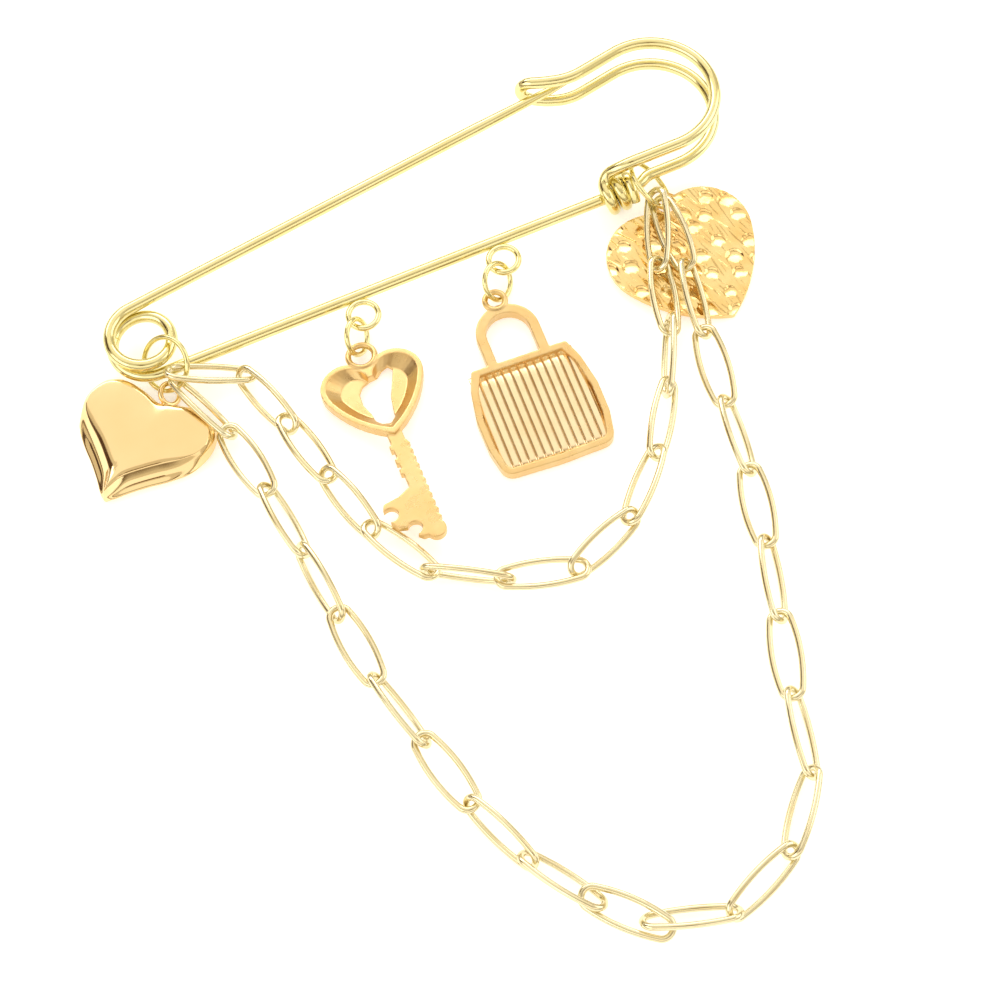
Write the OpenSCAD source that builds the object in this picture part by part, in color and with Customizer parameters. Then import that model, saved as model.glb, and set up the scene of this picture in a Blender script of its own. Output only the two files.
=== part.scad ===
// Safety pin brooch: a large wire pin with two swagged chains and four charms, lying flat.
// X runs along the bar, Y from the bar towards the stem, Z up from the surface it lies on.
// Millimetres. The layout is measured from the axis of the spring coil, and `seat` moves it
// so that the origin is the middle of the floor of the whole brooch's box.

/* [Pin] */
// Diameter of the pin's wire
pin_wire = 1.4; // [1.2:0.1:1.5]
// Radius of the spring coil, to the middle of the wire
coil_r = 3.4; // [3.2:0.1:3.6]
// Height of the bar's middle over the surface
bar_z = 2.2; // [2.1:0.1:2.4]
// How far the stem lies above the bar
stem_rise = 1.9; // [1.8:0.1:2.2]
// Angle of the closed stem to the bar
stem_angle = 7.3; // [7:0.1:7.5]
// Length of the stem, from the coil to its point
stem_l = 60.3; // [58:0.1:61]
// Radius of the head, to the middle of the wire
head_r = 7.4; // [7:0.1:7.6]
// Distance from the coil's axis to the head's middle, along the bar
head_x = 64.6; // [64:0.1:66]
// Distance between the head's two wires
head_gap = 4; // [3.8:0.1:4.2]

/* [Chains] */
// Diameter of a link's wire
link_wire = 0.75; // [0.7:0.05:0.75]
// Length of a link, outside
link_l = 10.5; // [10.4:0.05:10.6]
// Radius of a link's ends, to the middle of the wire
link_end_r = 1.15; // [1.1:0.05:1.2]
// How far two links reach into each other, between the middles of their wires
link_hook = 1.05; // [1:0.05:1.2]

/* [Rings] */
// Diameter of the wire of the jump rings
ring_wire = 0.6; // [0.5:0.05:0.6]
// Diameter of the wire of the two soldered rings
loop_wire = 0.7; // [0.6:0.05:0.8]
// Radius of the two soldered rings, to the middle of the wire
loop_r = 1.7; // [1.6:0.05:1.8]

/* [Charms] */
// Thickness of the puffy heart
puffy_t = 2.8; // [2.6:0.1:3]
// Width of the key's bow
bow_w = 11.8; // [11.4:0.1:12]
// Height of the key's bow
bow_h = 10.7; // [10.4:0.1:11]
// Thickness of the key
key_t = 1.2; // [1:0.1:1.4]
// Length of the key's shank below the bow
shank_l = 14.5; // [14.2:0.1:14.8]
// Width of the padlock's body where it is widest
lock_w = 14.2; // [13.8:0.1:14.4]
// Height of the padlock's body
lock_h = 13.7; // [13.4:0.1:14]
// Thickness of the padlock
lock_t = 1.3; // [1.2:0.1:1.5]
// Number of ribs in the padlock's recess
lock_ribs = 13; // [11:1:13]
// Width of the hammered heart
sheet_w = 17.8; // [17.4:0.1:18]
// Height of the hammered heart
sheet_h = 16.5; // [16:0.1:17]
// Thickness of the hammered heart
sheet_t = 0.8; // [0.7:0.1:1]

/* [Hidden] */
$fn = 32;
gold = "#e8cf86";
warm_gold = "#e0b468";
eps = 0.01;
hair = 0.008;

// The chains, link by link from the coil to the head: heading, climb and roll in degrees, and
// how far the next link is pushed into this one
LONG = [
    [-68.5, -5, -52, 0.4], [-80.5, 0, 12, 0.2], [-84.5, 0, -48, 0.2], [-84.5, 0, 62, 0.3],
    [-84.5, 0, 3, 0.1], [-77.5, 0, -59, 0.3], [-77.5, 0, 2, 0.1], [-69, 0, 61, 0.7],
    [-57.5, 0, -41, 1.5], [-48, 0, 14, 2.1], [-18, 0, -43, 0.1], [22, 0, 48, 0.2],
    [49.5, 0, -43, 0], [76, 0, 50, 0], [72.5, 0, -14, 0], [72.5, 0, 50, 0], [76, 0, -14, 0],
    [80.5, 0, 50, 0], [80.5, 4, -18, 0], [77, 3.3, 47, 0], [84.7, 0.2, -30, 0]];
SHORT = [
    [-18, -16, -30, 0.8], [-72.5, 0, 51, 1.1], [-79, 0, -22, 0.4], [-76, 0, 46, 0.6],
    [-63, 0, -19, 0.6], [-32, 0, -85, 0.7], [-17, 0, -8, 0.8], [21, 0, 49, 0.4],
    [45.5, 0, -37, 0.4], [55, 0, 48, 0.8], [63, 3.5, -72, 1.3], [73, 1.7, 30, 0.3],
    [67.2, 8.4, -41, 0]];
long_start = [1.8, -6.2, 2.5];
short_start = [1.7, -5.75, 4.2];

// Right half of the puffy heart, from the notch to the point: x and y of its rim, x and y of
// the edge of its face, and how far the side between them is pinched in
PUFFY = [
    [0, -0.85, 0, -1.75, 0], [1.8, -0.35, 1.65, -1.2, 0], [3.8, 0.1, 3.7, -0.7, 0],
    [5.6, 0, 5.3, -0.8, 0], [7, -0.85, 6.45, -1.45, 0], [7.8, -2.4, 7.2, -2.7, 0],
    [8, -3.9, 7.4, -3.9, 0], [7.7, -5.5, 6.9, -5.2, 0.15], [6.95, -7.15, 5.7, -6.5, 0.6],
    [5.3, -8.9, 3.95, -7.85, 1], [3.6, -10.35, 2.35, -9.25, 1], [2, -11.9, 0.95, -10.7, 1],
    [0.85, -13.2, 0.35, -12.2, 0.9], [0, -13.85, 0, -13.45, 0.5]];

seat = [-31.1, 36.7, 0];

stem_z = bar_z + stem_rise;
mid_z = bar_z + head_gap / 2;

function link_name(stem, i) = str(stem, i < 9 ? "0" : "", i + 1);
function unit(v) = v / norm(v);
function heading(turn, climb = 0) =
    [cos(climb) * cos(turn), cos(climb) * sin(turn), sin(climb)];

// A station on a wire: where its middle is, and which way it runs there
function at(x, y, z, turn, climb = 0) = [[x, y, z], heading(turn, climb)];

// Where two arcs meet that lead smoothly from station a to station b
function meeting(a, b) =
    let (v = b[0] - a[0], k = 1 - a[1] * b[1], s = v * (a[1] + b[1]),
         reach = k < 1e-9 ? v * v / (4 * (v * a[1])) : (sqrt(s * s + 2 * k * (v * v)) - s) / (2 * k))
    (a[0] + b[0] + reach * (a[1] - b[1])) / 2;

// The arcs and straight pieces of a wire through its stations, as [start, way, end]
function pieces(stations) = [
    for (i = [0:len(stations) - 2])
        let (a = stations[i], b = stations[i + 1], v = b[0] - a[0])
        each norm(cross(a[1], v)) < 1e-6 && norm(cross(a[1], b[1])) < 1e-6
            ? [[a[0], a[1], b[0]]]
            : let (m = meeting(a, b), way = unit(m - a[0]))
              [[a[0], a[1], m], [m, 2 * (way * a[1]) * way - a[1], b[0]]]];

// One arc of round wire that leaves p along t and ends at q, or a straight piece.
// It reaches `lap` further at both ends.
module wire_piece(p, t, q, wire, lap) {
    chord = q - p;
    side = chord - (chord * t) * t;
    if (norm(side) < 1e-5) {
        across = unit(abs(t[2]) < 0.9 ? cross([0, 0, 1], t) : cross([1, 0, 0], t));
        up = cross(t, across);
        multmatrix([[across[0], up[0], t[0], p[0]], [across[1], up[1], t[1], p[1]],
                    [across[2], up[2], t[2], p[2]]])
            translate([0, 0, -lap]) cylinder(d = wire, h = norm(chord) + 2 * lap);
    } else {
        inward = unit(side);
        r = (chord * chord) / (2 * (chord * inward));
        sweep = 2 * atan2(chord * inward, chord * t);
        more = lap / r * 180 / PI;
        axis = cross(-inward, t);
        centre = p + r * inward;
        multmatrix([[-inward[0], t[0], axis[0], centre[0]], [-inward[1], t[1], axis[1], centre[1]],
                    [-inward[2], t[2], axis[2], centre[2]]])
            rotate(-more) rotate_extrude(angle = sweep + 2 * more)
                translate([r, 0]) circle(d = wire);
    }
}

// Round wire bent smoothly through a list of stations. Every second piece is a hair thinner
// and ends inside its neighbours, so that the pieces join cleanly.
module bent_wire(stations, wire) {
    list = pieces(stations);
    for (i = [0:len(list) - 1])
        if (i % 2 == 0) wire_piece(list[i][0], list[i][1], list[i][2], wire, 0);
        else wire_piece(list[i][0], list[i][1], list[i][2], wire - 2 * hair, 0.06);
}

// A closed ring of round wire whose plane stands up along a heading and leans to its left
module hoop(middle, r, wire, turn, lean) {
    translate(middle) rotate([0, 0, turn]) rotate([90 - lean, 0, 0])
        rotate_extrude() translate([r, 0]) circle(d = wire);
}

// Outline of a heart of a given width and height about the middle of its lobes, point down.
// Each half is an arc round its lobe and a wide arc from there to the point.
function heart_outline(w, h, lobe, steps = 14) =
    let (c = w / 2 - lobe, drop = h - lobe, turn_in = 22,
         u = [cos(turn_in), -sin(turn_in)], q = [-c, -drop],
         big = (2 * lobe * (q * u) - q * q - lobe * lobe) / (2 * (q * u - lobe)),
         hub = [c, 0] - (big - lobe) * u,
         notch = acos(-min(c / lobe, 1)) * 0.94,
         last = atan2(-drop - hub[1], -hub[0]),
         right = concat(
             [for (i = [0:steps]) let (a = notch - (notch + turn_in) * i / steps)
                 [c + lobe * cos(a), lobe * sin(a)]],
             [for (i = [1:steps]) let (a = -turn_in + (last + turn_in) * i / steps)
                 hub + big * [cos(a), sin(a)]]),
         left = [for (i = [len(right) - 2:-1:0]) [-right[i][0], right[i][1]]])
    concat(right, left);

module heart(w, h, lobe) { polygon(heart_outline(w, h, lobe)); }

// The spring coil's sloping half turn, from the stem's side down to the bar's side
function coil_station(a) =
    let (fall = stem_rise / 4, side = [coil_r, 0, fall], across = [0, norm([coil_r, fall]), 0])
    [[0, 0, bar_z + fall] + cos(a) * side + sin(a) * across,
     unit(-sin(a) * side + cos(a) * across)];

bar_r = 4.2;
stem_bend_r = 4;
stem_x = stem_bend_r - coil_r + stem_bend_r * cos(90 + stem_angle);
stem_y = stem_bend_r * sin(90 + stem_angle);
bar_x = bar_r - coil_r;
coil_split = 140;

// The same station on the upper side of the head, passed on the way back
function above(station) =
    [[station[0][0], station[0][1], 2 * mid_z - station[0][2]],
     [-station[1][0], -station[1][1], station[1][2]]];

straight_y = -3.4;
head_y = straight_y + head_r;
over = 10;
HEAD = [ // from the jog beside the wrap round to the bend at the end of the hook
    at(61.4, straight_y, bar_z, 0),
    at(head_x, straight_y, bar_z, 0),
    at(head_x + head_r, head_y, bar_z, 90),
    at(head_x, head_y + head_r, bar_z, 180),
    at(head_x - head_r * sin(over), head_y + head_r * cos(over), bar_z, 180 + over),
    at(58.6, 10.4, bar_z, 190),
    at(53, 11.7, bar_z + 0.4, 150, 9)];

wrap_r = pin_wire + 0.1;
wrap_pitch = 1.5;
wrap_x = 55.1;
WRAP = [ // down from the upper side of the head and round the bar, to the stub of its end
    at(59.6, straight_y, bar_z + head_gap, 180),
    for (i = [0:1]) each [
        at(wrap_x + i * wrap_pitch, -bar_r, bar_z + wrap_r, 270),
        at(wrap_x + (i + 0.5) * wrap_pitch, -bar_r, bar_z - wrap_r, 90)],
    at(wrap_x + 2 * wrap_pitch, -bar_r, bar_z + wrap_r, 270),
    at(wrap_x + 1.85 * wrap_pitch, -6.1, bar_z + 0.3, 260, -55)];

module soldered_loop(x) {
    translate([x, -bar_r - pin_wire / 2 - loop_r - loop_wire / 2 + 0.15, bar_z])
        rotate_extrude() translate([loop_r, 0]) circle(d = loop_wire);
}

module pin_frame() {
    color(gold) {
        bent_wire(concat(
            [coil_station(coil_split + 4),
             at(-coil_r, 0, bar_z, 270),
             at(bar_x, -bar_r, bar_z, 0),
             at(58.6, -bar_r, bar_z, 0)],
            HEAD,
            [at(51.8, 12.35, mid_z, 0, 90)],
            [for (i = [len(HEAD) - 1:-1:0]) above(HEAD[i])],
            WRAP), pin_wire);
        soldered_loop(24);
        soldered_loop(41.2);
    }
}

module pin_arm() {
    taper_l = 15;
    point_l = 5;
    color(gold) {
        translate([stem_x, stem_y, stem_z]) rotate([0, 90, stem_angle]) {
            translate([0, 0, -0.06]) cylinder(d = pin_wire - 2 * hair, h = stem_l - taper_l + 0.06);
            translate([0, 0, stem_l - taper_l])
                cylinder(d1 = pin_wire - 2 * hair, d2 = 1, h = taper_l - point_l);
            translate([0, 0, stem_l - point_l]) cylinder(d1 = 1, d2 = 0.2, h = point_l);
        }
        bent_wire([
            at(stem_x, stem_y, stem_z, 180 + stem_angle),
            at(-coil_r, 0, stem_z, 270),
            at(coil_r, 0, bar_z + stem_rise / 2, 90),
            coil_station(coil_split)], pin_wire);
    }
}

module ring_left() { color(gold) hoop([1.5, -3.7, 2.9], 3, ring_wire, -67, 47); }

module ring_right() { color(gold) hoop([60.32, -5.1, 2.78], 3.12, ring_wire, -92.8, -39.7); }

module ring_key() { color(gold) hoop([22.3, -9.05, 2.13], 2, ring_wire, 52, 25.5); }

module ring_padlock() { color(gold) hoop([39.46, -9.05, 2.02], 2.06, ring_wire, 42, 36); }

module eye(r, wire) { rotate_extrude() translate([r, 0]) circle(d = wire); }

// A smooth line through the rows of a table, three steps from one row to the next
function mirrored(row) = [-row[0], row[1], -row[2], row[3], row[4]];
function smooth_rows(rows) = let (n = len(rows))
    concat([for (i = [0:n - 2], k = [0:2])
        let (t = k / 3, a = i == 0 ? mirrored(rows[1]) : rows[i - 1], b = rows[i], c = rows[i + 1],
             d = i == n - 2 ? 2 * c - b : rows[i + 2])
        0.5 * (2 * b + (c - a) * t + (2 * a - 5 * b + 4 * c - d) * t * t
               + (3 * b - a - 3 * c + d) * t * t * t)], [rows[n - 1]]);

// A plump heart: every layer lies between the rim and the edge of the face, or inside the face
module puffy_body() {
    right = smooth_rows(PUFFY);
    rows = concat(right, [for (i = [len(right) - 2:-1:1]) mirrored(right[i])]);
    n = len(rows);
    middle = [0, -5.5];
    // the way from the rim to the edge of the face, and the height there on a plump side and
    // on a pinched one; past 1 it is the way on to the middle
    layers = [
        [1.12, 0, 0], [0.75, 0.06, 0.06], [0.35, 0.3, 0.3], [0.08, 0.7, 0.7], [0, 0.95, 0.95],
        [0.08, 1.35, 1.12], [0.3, 1.9, 1.25], [0.62, 2.3, 1.4], [0.88, 2.48, 1.85],
        [1, 2.55, 2.45], [1.12, 2.64, 2.6], [1.5, 2.74, 2.74], [1.8, 2.8, 2.8]];
    points = [for (layer = layers, r = rows)
        let (rim = [r[0], r[1]], edge = [r[2], r[3]], way = min(layer[0], 1),
             q = layer[0] > 1 ? edge + (layer[0] - 1) * (middle - edge) : rim + way * (edge - rim))
        [q[0], q[1], puffy_t / 2.8 * (layer[1] + min(max(r[4], 0), 1) * (layer[2] - layer[1]))]];
    walls = [for (k = [0:len(layers) - 2], i = [0:n - 1])
        let (j = (i + 1) % n) [k * n + i, k * n + j, (k + 1) * n + j, (k + 1) * n + i]];
    floor_face = [for (i = [n - 1:-1:0]) i];
    top_face = [for (i = [0:n - 1]) (len(layers) - 1) * n + i];
    polyhedron(points, concat(walls, [floor_face, top_face]));
}

module heart_puffy() {
    eye_at = [0.7, -6.5, 1.2];
    color(warm_gold) {
        translate([0.3, -7.05, 0]) rotate([0, 0, -49]) {
            translate([-0.4, 0, 0]) puffy_body();
            translate([0, -0.7, 1.2]) rotate([90, 0, 0]) cylinder(d = 0.9, h = 2.4);
        }
        hoop(eye_at, 1.2, 0.6, 48, 46);
    }
}

// The bow is a dish with a thin rim and an uneven hole, as it was cast
module key_bow() {
    lobe = 3.1;
    rim = 0.55;
    floor_t = 0.35;
    grow = 1.4;
    difference() {
        linear_extrude(key_t) heart(bow_w, bow_h, lobe);
        translate([0, -1.8, floor_t]) linear_extrude(key_t - floor_t + eps, scale = grow)
            translate([0, 1.8 / grow])
                heart((bow_w - 2 * rim) / grow, (bow_h - 2.4 * rim) / grow, (lobe - rim) / grow);
        translate([0, 0, -eps]) linear_extrude(key_t)
            polygon([[-0.2, 0.4], [-1.2, 0], [-1.8, -0.8], [-1.9, -2.3], [-1.4, -3.8], [-1.3, -5],
                     [-0.8, -5.7], [0.2, -5.8], [0.8, -5.2], [1, -3.9], [1.3, -2.4], [2, -0.8],
                     [2.7, 0.9], [2.3, 1.5], [1.5, 1.2], [0.7, 0.5]]);
    }
}

// The shank with a saw edge on one side and the bit with its two round bites on the other
module key_shank() {
    w = 1.7;
    teeth = 12;
    pitch = 1;
    linear_extrude(key_t - 0.3) difference() {
        union() {
            translate([-w / 2, -shank_l + 1.2]) square([w, shank_l]);
            translate([0.1, -shank_l + 1.4]) circle(r = 1.1);
            for (i = [0:teeth - 1])
                translate([w / 2, -1.2 - i * pitch]) rotate(-90)
                    polygon([[0, -0.1], [pitch, -0.1], [0.7 * pitch, 0.35], [0, 0]]);
            for (y = [-2.2, -4, -5.4]) translate([-w / 2 - 0.3, y]) square([0.4, 0.7]);
            polygon([[0, -7], [-0.9, -7.2], [-2.4, -7.9], [-4.2, -8.2], [-4.5, -8.9], [-4.2, -10.6],
                     [-3.6, -11.5], [-2.4, -11.9], [-2, -13], [-1.5, -13.5], [0, -13.6]]);
        }
        translate([-3.9, -9.7]) circle(r = 0.85);
        translate([-2, -12.2]) circle(r = 0.8);
    }
}

module key() {
    color(warm_gold) translate([21.9, -11.2, 0.3]) rotate([-4.6, 0, -2.2]) {
        translate([0, 0, 1]) eye(1.5, 0.7);
        translate([0, -3.5, 0]) key_bow();
        translate([0, -10.8, 0]) key_shank();
    }
}

// The body has sharp top corners, bulging sides and a rounded foot
module lock_outline(inset) {
    half = lock_w / 2;
    shift = max(0, inset - 0.2);
    hull() {
        for (s = [-1, 1]) {
            translate([s * (half - 1.75 - shift), 0.1 - shift]) circle(r = max(0.35 - inset, 0.15));
            translate([s * (half - 1.6), -2.2]) circle(r = 1 - inset);
            translate([s * (half - 1.4), -5.8]) circle(r = 1.4 - inset);
            translate([s * (half - 1.45), -9.4]) circle(r = 1.4 - inset);
            translate([s * (half - 2), 2 - lock_h]) circle(r = 1.5 - inset);
        }
        translate([0, 1.8 - lock_h]) circle(r = 1.5 - inset);
    }
}

module padlock() {
    rim = 0.8;
    floor_t = 0.45;
    inner_w = lock_w - 2 * rim - 0.4;
    bow_r = 2.5;
    band = 1.15;
    bow_y = 3.8;
    color(warm_gold) translate([38.3, -10.9, 0.3]) rotate([0, 0, -3.8]) {
        translate([0, 0, 1.1]) eye(1.15, 0.7);
        translate([0, -8.2, 0]) {
            difference() {
                linear_extrude(lock_t) lock_outline(0);
                translate([0, 0, floor_t]) linear_extrude(lock_t) lock_outline(rim);
            }
            intersection() {
                linear_extrude(lock_t - 0.2) lock_outline(rim - eps);
                for (i = [0:lock_ribs - 1])
                    translate([-inner_w / 2 + (i + 0.5) * inner_w / lock_ribs, 1, floor_t - 0.1])
                        rotate([90, 0, 0]) cylinder(d = 0.8, h = lock_h + 1, $fn = 16);
            }
            translate([0, bow_y, 0]) rotate_extrude(angle = 180)
                translate([bow_r, 0]) square([band, lock_t]);
            for (s = [-1, 1])
                translate([s * (bow_r + band / 2) - band / 2, -0.2, 0])
                    cube([band, bow_y + 0.2 + eps, lock_t]);
        }
    }
}

module heart_hammered() {
    hole_at = [1.6, 4.95];
    hole_r = 1.1;
    color(warm_gold) translate([60.4, -12.7, 0.75]) rotate([3.85, 0, 9]) difference() {
        union() {
            linear_extrude(sheet_t) heart(sheet_w, sheet_h, 5.5);
            translate(hole_at) cylinder(r = hole_r + 0.4, h = sheet_t);
        }
        translate([hole_at[0], hole_at[1], -eps]) cylinder(r = hole_r, h = sheet_t + 2 * eps);
    }
}

// A flat oval of wire: two round ends and two long sides that bow out, all arcs
module link() {
    sweep = 78;
    hub = link_l / 2 - link_wire / 2 - link_end_r;
    shoulder = hub + link_end_r * cos(sweep);
    side_sweep = 90 - sweep;
    side_r = shoulder / sin(side_sweep);
    side_hub = link_end_r * sin(sweep) - side_r * cos(side_sweep);
    lap = 0.06 / side_r * 180 / PI;
    for (turn = [0, 180]) rotate(turn) {
        translate([hub, 0, 0]) rotate(-sweep) rotate_extrude(angle = 2 * sweep)
            translate([link_end_r, 0]) circle(d = link_wire);
        translate([0, side_hub, 0]) rotate(90 - side_sweep - lap)
            rotate_extrude(angle = 2 * (side_sweep + lap))
                translate([side_r, 0]) circle(d = link_wire - 2 * hair);
    }
}

link_step = link_l - link_wire - link_hook;

// Where link i starts: the end of the link before it
function link_start(chain, start, i) =
    i == 0 ? start
    : let (row = chain[i - 1])
      link_start(chain, start, i - 1) + (link_step - row[3]) * heading(row[0], row[1]);

module chain_link(chain, start, i) {
    row = chain[i];
    middle = link_start(chain, start, i) + link_step / 2 * heading(row[0], row[1]);
    color(gold) translate(middle) rotate([0, -row[1], row[0]]) rotate([row[2], 0, 0]) link();
}

translate(seat) {
    pin_frame();
    pin_arm();
    ring_left();
    ring_right();
    ring_key();
    ring_padlock();
    heart_puffy();
    key();
    padlock();
    heart_hammered();
    for (i = [0:len(LONG) - 1])
        chain_link(LONG, long_start, i);
    for (i = [0:len(SHORT) - 1])
        chain_link(SHORT, short_start, i);
}
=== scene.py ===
"""Looks of a gold safety pin brooch with two swagged chains and four charms, on a white floor.

The wire work is shown as the frame has it. The four charms are made here in finer detail and
stand for their nodes. All sizes are in millimetres until a mesh is handed over in metres.
"""

import logging
import math
from dataclasses import dataclass
from enum import Enum
from typing import Sequence

import bmesh
import bpy
import numpy as np
from mathutils import Matrix, Vector

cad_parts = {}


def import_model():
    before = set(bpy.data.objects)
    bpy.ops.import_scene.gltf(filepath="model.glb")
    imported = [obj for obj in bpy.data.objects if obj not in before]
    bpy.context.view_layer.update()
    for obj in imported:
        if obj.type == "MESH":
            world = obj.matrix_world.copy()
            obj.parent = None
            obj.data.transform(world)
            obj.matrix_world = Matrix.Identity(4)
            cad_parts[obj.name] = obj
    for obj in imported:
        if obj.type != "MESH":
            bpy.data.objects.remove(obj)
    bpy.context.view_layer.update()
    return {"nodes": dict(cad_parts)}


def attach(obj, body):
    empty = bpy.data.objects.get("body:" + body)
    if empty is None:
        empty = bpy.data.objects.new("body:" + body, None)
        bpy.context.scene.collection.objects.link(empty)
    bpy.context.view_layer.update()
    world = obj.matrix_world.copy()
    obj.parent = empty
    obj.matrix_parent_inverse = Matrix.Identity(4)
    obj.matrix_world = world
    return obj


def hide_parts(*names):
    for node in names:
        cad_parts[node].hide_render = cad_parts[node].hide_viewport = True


LOG = logging.getLogger("brooch")
MM = 0.001
# Points of a finished mesh closer than this, in metres, are one point
SAME_POINT_M = 1e-7
# Where the axis of the spring coil stands in the frame; the charms' places are measured from it
SEAT = np.array([-31.1, 36.7, 0.0])
BODY = "brooch"
CHARM_NODES = ("heart_puffy", "key", "padlock", "heart_hammered")
LINK_START = "link_"
# Roughness of the studio's paint
MATT = 0.9

Colour = tuple[float, float, float]
Point = tuple[float, float, float]
Span = tuple[float, float]
Faces = list[tuple[int, ...]]
Layer = tuple[float, float, float]


class Kind(Enum):
    """What a node of the frame is, which decides the gold that it is shown in."""

    PIN = "pin"
    CHAIN = "chain"
    CHARM = "charm"

    @classmethod
    def of(cls, node: str) -> "Kind":
        """Sorts a node by its name.

        Args:
            node: Name of the node.

        Returns:
            Its kind.
        """
        if node in CHARM_NODES:
            return cls.CHARM
        return cls.CHAIN if node.startswith(LINK_START) else cls.PIN


@dataclass(frozen=True)
class GoldFinish:
    """One finish of gold plate.

    Attributes:
        name: Name of the material.
        bright: Its lighter colour.
        deep: The deeper colour that clouds it.
        polish_low: Roughness where it is polished best.
        polish_high: Roughness where it is worn most.
        cloud_mm: Width of the clouds of colour.
        grain_mm: Width of the fine grain.
        grain_height_mm: Height of the grain.
        scratch_height_mm: Height of the long scratches, 0 for none.
        cloud_detail: Octaves of the clouds.
        cloud_span: Noise at which the bright colour begins and ends to turn deep.
        wear_detail: Octaves of the wear.
        wear_span: Noise at which the wear begins and ends.
        wear_share: Width of the worn spots, as a share of the clouds' width.
        grain_detail: Octaves of the grain and of the scratches.
        scratch_stretch: Scale of the grain's noise along each axis, for the scratches.
        scratch_turn: Heading of the scratches, in radians.
    """

    name: str
    bright: Colour
    deep: Colour
    polish_low: float
    polish_high: float
    cloud_mm: float
    grain_mm: float
    grain_height_mm: float
    scratch_height_mm: float = 0.0
    cloud_detail: float = 3.0
    cloud_span: Span = (0.35, 0.7)
    wear_detail: float = 4.0
    wear_span: Span = (0.3, 0.7)
    wear_share: float = 0.4
    grain_detail: float = 2.0
    scratch_stretch: Point = (0.08, 1.0, 1.0)
    scratch_turn: float = 0.6

    def material(self) -> bpy.types.Material:
        """Builds the node material of this finish.

        Returns:
            The material, made once and found again by its name.
        """
        found = bpy.data.materials.get(self.name)
        if found is not None:
            return found
        mat = bpy.data.materials.new(self.name)
        mat.use_nodes = True
        mat.diffuse_color = (*self.bright, 1.0)
        tree = mat.node_tree
        tree.nodes.clear()
        out = tree.nodes.new("ShaderNodeOutputMaterial")
        shader = tree.nodes.new("ShaderNodeBsdfPrincipled")
        shader.inputs["Metallic"].default_value = 1.0
        tree.links.new(shader.outputs["BSDF"], out.inputs["Surface"])
        place = tree.nodes.new("ShaderNodeTexCoord")
        tree.links.new(self._colour(tree, place), shader.inputs["Base Color"])
        tree.links.new(self._roughness(tree, place), shader.inputs["Roughness"])
        tree.links.new(self._relief(tree, place), shader.inputs["Normal"])
        return mat

    def _colour(self, tree: bpy.types.NodeTree, place: bpy.types.Node) -> bpy.types.NodeSocket:
        """Clouds the bright colour with the deep one.

        Args:
            tree: The material's node tree.
            place: The texture coordinate node.

        Returns:
            The socket that gives the colour.
        """
        cloud = self._noise(tree, place, self.cloud_mm, self.cloud_detail)
        tint = tree.nodes.new("ShaderNodeMix")
        tint.data_type = "RGBA"
        tint.inputs["A"].default_value = (*self.bright, 1.0)
        tint.inputs["B"].default_value = (*self.deep, 1.0)
        share = self._mapped(tree, cloud, self.cloud_span, (0.0, 1.0))
        tree.links.new(share, tint.inputs["Factor"])
        return tint.outputs["Result"]

    def _roughness(self, tree: bpy.types.NodeTree, place: bpy.types.Node) -> bpy.types.NodeSocket:
        """Lets the polish come and go over the surface.

        Args:
            tree: The material's node tree.
            place: The texture coordinate node.

        Returns:
            The socket that gives the roughness.
        """
        wear = self._noise(tree, place, self.cloud_mm * self.wear_share, self.wear_detail)
        return self._mapped(tree, wear, self.wear_span, (self.polish_low, self.polish_high))

    def _relief(self, tree: bpy.types.NodeTree, place: bpy.types.Node) -> bpy.types.NodeSocket:
        """Raises the fine grain, and the scratches where the finish has them.

        Args:
            tree: The material's node tree.
            place: The texture coordinate node.

        Returns:
            The socket that gives the normal.
        """
        size, detail = self.grain_mm, self.grain_detail
        grain = self._noise(tree, place, size, detail)
        relief = self._bump(tree, grain, self.grain_height_mm)
        if self.scratch_height_mm > 0:
            stretch, turn = self.scratch_stretch, self.scratch_turn
            scratches = self._noise(tree, place, size, detail, stretch, turn)
            over = self._bump(tree, scratches, self.scratch_height_mm)
            tree.links.new(relief.outputs["Normal"], over.inputs["Normal"])
            relief = over
        return relief.outputs["Normal"]

    @staticmethod
    def _mapped(
        tree: bpy.types.NodeTree, noise: bpy.types.Node, span: Span, to: Span
    ) -> bpy.types.NodeSocket:
        """Spreads a noise over a range.

        Args:
            tree: The material's node tree.
            noise: The noise node.
            span: The noise at the two ends of the range.
            to: What the two ends give.

        Returns:
            The socket that gives the result.
        """
        node = tree.nodes.new("ShaderNodeMapRange")
        ends = ("From Min", "From Max", "To Min", "To Max")
        for end, value in zip(ends, (*span, *to)):
            node.inputs[end].default_value = value
        tree.links.new(noise.outputs["Fac"], node.inputs["Value"])
        return node.outputs["Result"]

    @staticmethod
    def _bump(
        tree: bpy.types.NodeTree, noise: bpy.types.Node, height_mm: float
    ) -> bpy.types.Node:
        """Raises a noise as relief.

        Args:
            tree: The material's node tree.
            noise: The noise node.
            height_mm: Height of the relief.

        Returns:
            The bump node.
        """
        bump = tree.nodes.new("ShaderNodeBump")
        bump.inputs["Strength"].default_value = 1.0
        bump.inputs["Distance"].default_value = height_mm * MM
        tree.links.new(noise.outputs["Fac"], bump.inputs["Height"])
        return bump

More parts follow.
